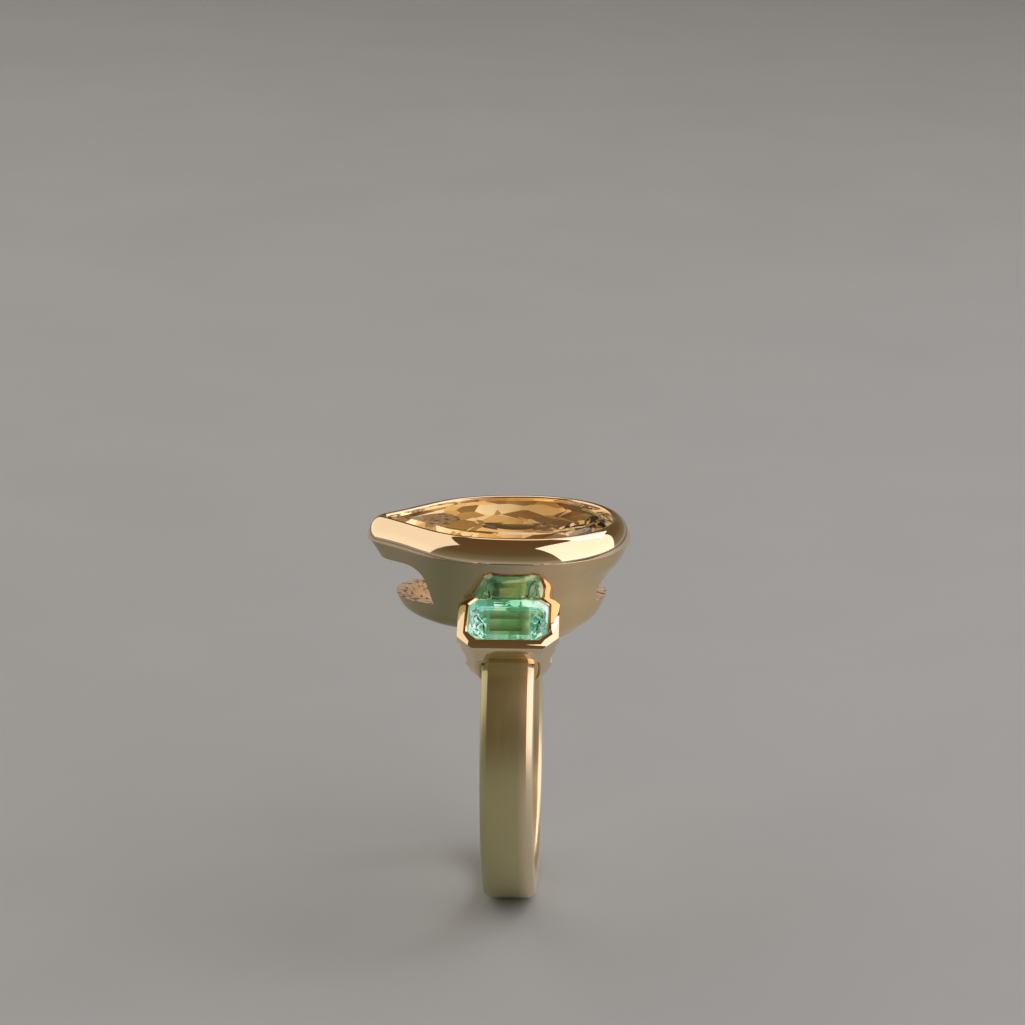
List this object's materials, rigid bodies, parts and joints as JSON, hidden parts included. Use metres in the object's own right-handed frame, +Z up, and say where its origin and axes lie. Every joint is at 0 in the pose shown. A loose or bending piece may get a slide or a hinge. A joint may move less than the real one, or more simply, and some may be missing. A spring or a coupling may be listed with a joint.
{
  "type": "cocktail ring",
  "caption": "Gold cocktail ring with a bezel-set pear-shaped citrine on an open bowl and an emerald-cut green stone on each shoulder.",
  "frame": {"origin": "centre of the finger hole, in the middle of the band", "axes": "+X along the finger, towards the round end of the pear stone; +Z up to the pear stone; -Y towards the front shoulder stone"},
  "size_m": [0.0175, 0.0208, 0.0262],
  "materials": {
    "gold": "polished",
    "citrine": "faceted gem",
    "green_stone": "faceted gem"
  },
  "bodies": {
    "root": {"shank": "gold", "pear_bowl": "gold", "pear_seat": "gold", "pear_bezel": "gold", "front_collet": "gold", "front_seat": "gold", "front_bezel": "gold", "rear_collet": "gold", "rear_seat": "gold", "rear_bezel": "gold", "pear_stone": "citrine", "front_stone": "green_stone", "rear_stone": "green_stone"}
  },
  "joints": []
}
